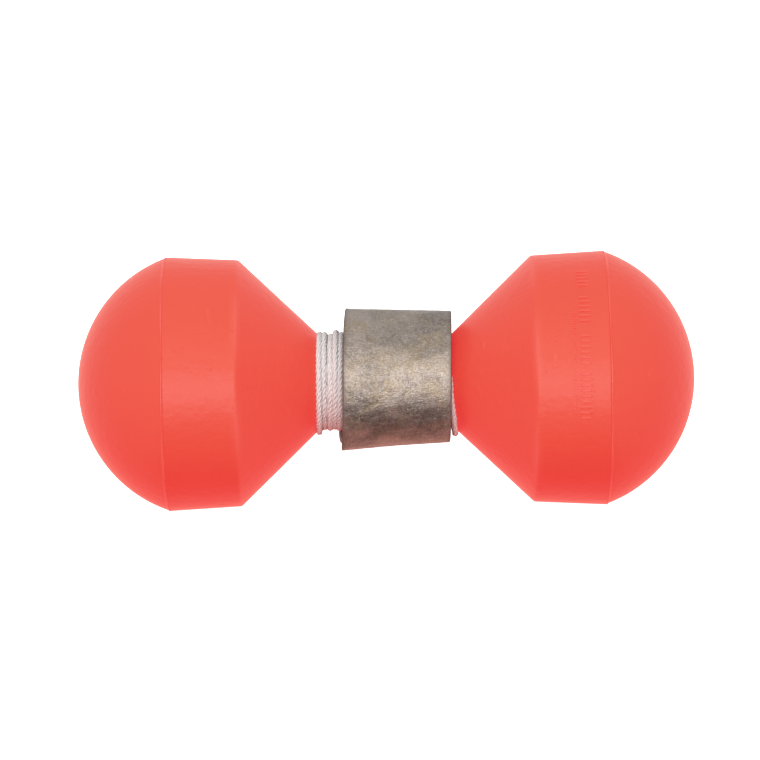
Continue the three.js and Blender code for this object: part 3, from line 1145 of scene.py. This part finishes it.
bend_reach, outer_end, inner_end = 8.0, 182, -222  # degrees from the bend
crease_of_sheet = 50
front_turns = turns_between(bend_reach, outer_end, round_end=True)
bend_turns = turns_between(-bend_reach, bend_reach, step=1.0)
rear_turns = turns_between(inner_end, -bend_reach, round_start=True)
front_mesh = sheet_of_lead("front", front_turns, round_end=True)
rear_mesh = sheet_of_lead("rear", rear_turns, round_start=True)
strap_front = keep_piece("lead_strap_front_sheet", front_mesh, crease_of_sheet)
strap_bend = keep_piece("lead_strap_bend", sheet_of_lead("bend", bend_turns), crease_of_sheet)


# %% The hole for the cord
def bored(mesh, place, way, radius, depth):
    """The mesh with a round hole through it."""
    holder = bpy.data.objects.new("blank", mesh)
    drill_mesh = bpy.data.meshes.new("drill")
    shape = bmesh.new()
    bmesh.ops.create_cone(shape, cap_ends=True, segments=28, radius1=radius, radius2=radius, depth=depth)
    turn = way.to_track_quat("Z", "Y").to_matrix().to_4x4()
    bmesh.ops.transform(shape, matrix=turn, verts=shape.verts)
    bmesh.ops.translate(shape, vec=place, verts=shape.verts)
    shape.to_mesh(drill_mesh)
    shape.free()
    drill = bpy.data.objects.new("drill", drill_mesh)
    for tool in (holder, drill):
        bpy.context.scene.collection.objects.link(tool)
    cut = holder.modifiers.new("hole", "BOOLEAN")
    cut.operation, cut.solver, cut.object = "DIFFERENCE", "EXACT", drill
    depsgraph = bpy.context.evaluated_depsgraph_get()
    result = bpy.data.meshes.new_from_object(holder.evaluated_get(depsgraph), depsgraph=depsgraph)
    holder.modifiers.clear()
    bpy.data.objects.remove(holder)
    bpy.data.objects.remove(drill)
    return result


hole_radius, drill_length = 1.05 * MM, 6 * MM
bored_mesh = bored(rear_mesh, hole_place * MM, hole_way, hole_radius, drill_length)
strap_rear = keep_piece("lead_strap_rear_sheet", bored_mesh, crease_of_sheet)
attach(strap_rear, "strap_rear")
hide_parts("lead_strap_rear")
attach(strap_front, "strap_front")
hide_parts("lead_strap_front")
bend_top = strap_point(0.5, 0, 0) * MM
bend_half = 20.0 * MM * math.sin(math.radians(bend_reach))
bend_top - front_way * bend_half
bend_top + front_way * bend_half
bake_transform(strap_bend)

# %% [markdown]
# ## The dowel in the neck
# A plug of plain plastic joins the two necks. It is hidden under the cord, and its CAD shape is
# right, so it stays and only gets a finish: milky, with the faint rings of a turned rod.

# %% Dowel finish
clear_plug, recipe = new_finish("milky_plug", (0.82, 0.78, 0.70))
here = recipe.place()
rings = recipe.wave("SINE", recipe.node("ShaderNodeSeparateXYZ", {}, {"Vector": here}) * 9000.0) * 0.5 + 0.5
milk = recipe.noise(here, 240.0, 3.0)
close_finish(
    recipe,
    **{
        "Base Color": recipe.mix(milk, (0.78, 0.74, 0.66), (0.86, 0.83, 0.76)),
        "Roughness": 0.38 + rings * 0.12,
        "Normal": recipe.bump(rings * 0.6 + milk * 0.4, 0.00004),
    },
)
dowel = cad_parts["neck_dowel"]
dowel.data.materials.clear()
dowel.data.materials.append(clear_plug)
print("finish:", clear_plug.name, "on", dowel.name)

# %% [markdown]
# ## Floor and light
# The object lies on a pale floor in soft light. A large pale surround lights it from all sides. The
# floor throws no light back: what comes from below comes from the surround instead, where it is easy
# to set. There it is red, as it is between two fluorescent bulbs. A Light Path node lets reflections
# see another surround than matt surfaces do: a paler red below and near black low in front, which
# gives round things their shape. One softbox in front makes the gloss on the plastic and the lead.
# One above gives the form, and isn't seen in reflections.

# %% Floor
pale_floor, recipe = new_finish("pale_floor", (0.9, 0.9, 0.9))
floor_tone = recipe.mix(recipe.noise(recipe.place(), 3.0, 2.0), (0.86, 0.865, 0.86), (0.88, 0.882, 0.88))
close_finish(
    recipe,
    **{
        "Base Color": floor_tone, "Roughness": 0.9, "Specular IOR Level": 0.1,
        "Emission Color": (1.0, 1.0, 1.0, 1.0), "Emission Strength": 1.05,
    },
)
floor_level = -(bulb_radius + bead_height + 0.14)
floor_half = 9000
corners = [(x * floor_half, y * floor_half, floor_level) for x, y in ((-1, -1), (1, -1), (1, 1), (-1, 1))]
floor_mesh = mesh_of("floor", corners, [(0, 1, 2, 3)], pale_floor)
floor = bpy.data.objects.new("floor", floor_mesh)
bpy.context.scene.collection.objects.link(floor)
floor.visible_diffuse = False
floor.visible_glossy = False
floor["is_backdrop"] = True
print(f"floor at {floor_level:.2f} mm")

# %% Surround
world = bpy.data.worlds.new("surround")
bpy.context.scene.world = world
world.use_nodes = True
world.node_tree.nodes.clear()
recipe = Recipe(world.node_tree)
direction = recipe.node("ShaderNodeTexCoord", {}, {}, out="Generated")


def towards_way(way):
    sockets = {0: direction, 1: Vector(way).normalized()}
    return recipe.node("ShaderNodeVectorMath", {"operation": "DOT_PRODUCT"}, sockets, out="Value")


under = towards_way((0, 0.1, -1))
in_front_below = towards_way((0, -0.83, -0.56))
low_in_front = towards_way((0, -0.7, -0.72))
lit = recipe.mix(recipe.step(under, 0.08, 0.66), (0.66, 0.66, 0.66), (1.5, 0.20, 0.15))
lit = recipe.mix(recipe.step(in_front_below, 0.62, 0.95), lit, (0.8, 0.04, 0.03))
overhead = recipe.step(towards_way((0, -0.3, 0.95)), 0.78, 0.98)
mirrored = recipe.mix(overhead, (0.66, 0.66, 0.66), (0.86, 0.86, 0.86))
mirrored = recipe.mix(recipe.step(under, 0.3, 0.8), mirrored, (0.92, 0.48, 0.42))
mirrored = recipe.mix(recipe.step(low_in_front, 0.74, 0.88), mirrored, (0.03, 0.02, 0.02))
is_mirrored = recipe.node("ShaderNodeLightPath", {}, {}, out="Is Glossy Ray")
surround_tone = recipe.mix(is_mirrored, lit, mirrored)
surround = recipe.node("ShaderNodeBackground", {}, {"Color": surround_tone, "Strength": 1.0})
recipe.node("ShaderNodeOutputWorld", {}, {"Surface": surround})
print("surround is ready")


# %% Softboxes
def softbox(name, elevation, azimuth, distance, size, share):
    """share is how much light it gives a surface that faces it, where 1 shows white as white."""
    lamp = bpy.data.lights.new(name, "AREA")
    lamp.shape, lamp.size = "DISK", size
    lamp.energy = share * math.pi**2 * distance**2
    box = bpy.data.objects.new(name, lamp)
    bpy.context.scene.collection.objects.link(box)
    up, round_ = math.radians(elevation), math.radians(azimuth)
    back = Vector((math.sin(round_) * math.cos(up), -math.cos(round_) * math.cos(up), math.sin(up)))
    box.location = back * distance
    box.rotation_euler = (-back).to_track_quat("-Z", "Y").to_euler()
    box.visible_camera = False
    return box


softbox("front_softbox", 24, 0, 1.5, 0.85, 0.39)
softbox("high_softbox", 58, -8, 1.6, 0.9, 0.45).visible_glossy = False
print("two softboxes")

# %% [markdown]
# ## Finish
# The two boxes, of the CAD model and of the dressed model, are worked out.

# %% Work out the boxes
boxes = {"cad": cad_box, "visual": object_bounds()}
{name: [list(corner) for corner in box] for name, box in boxes.items()}
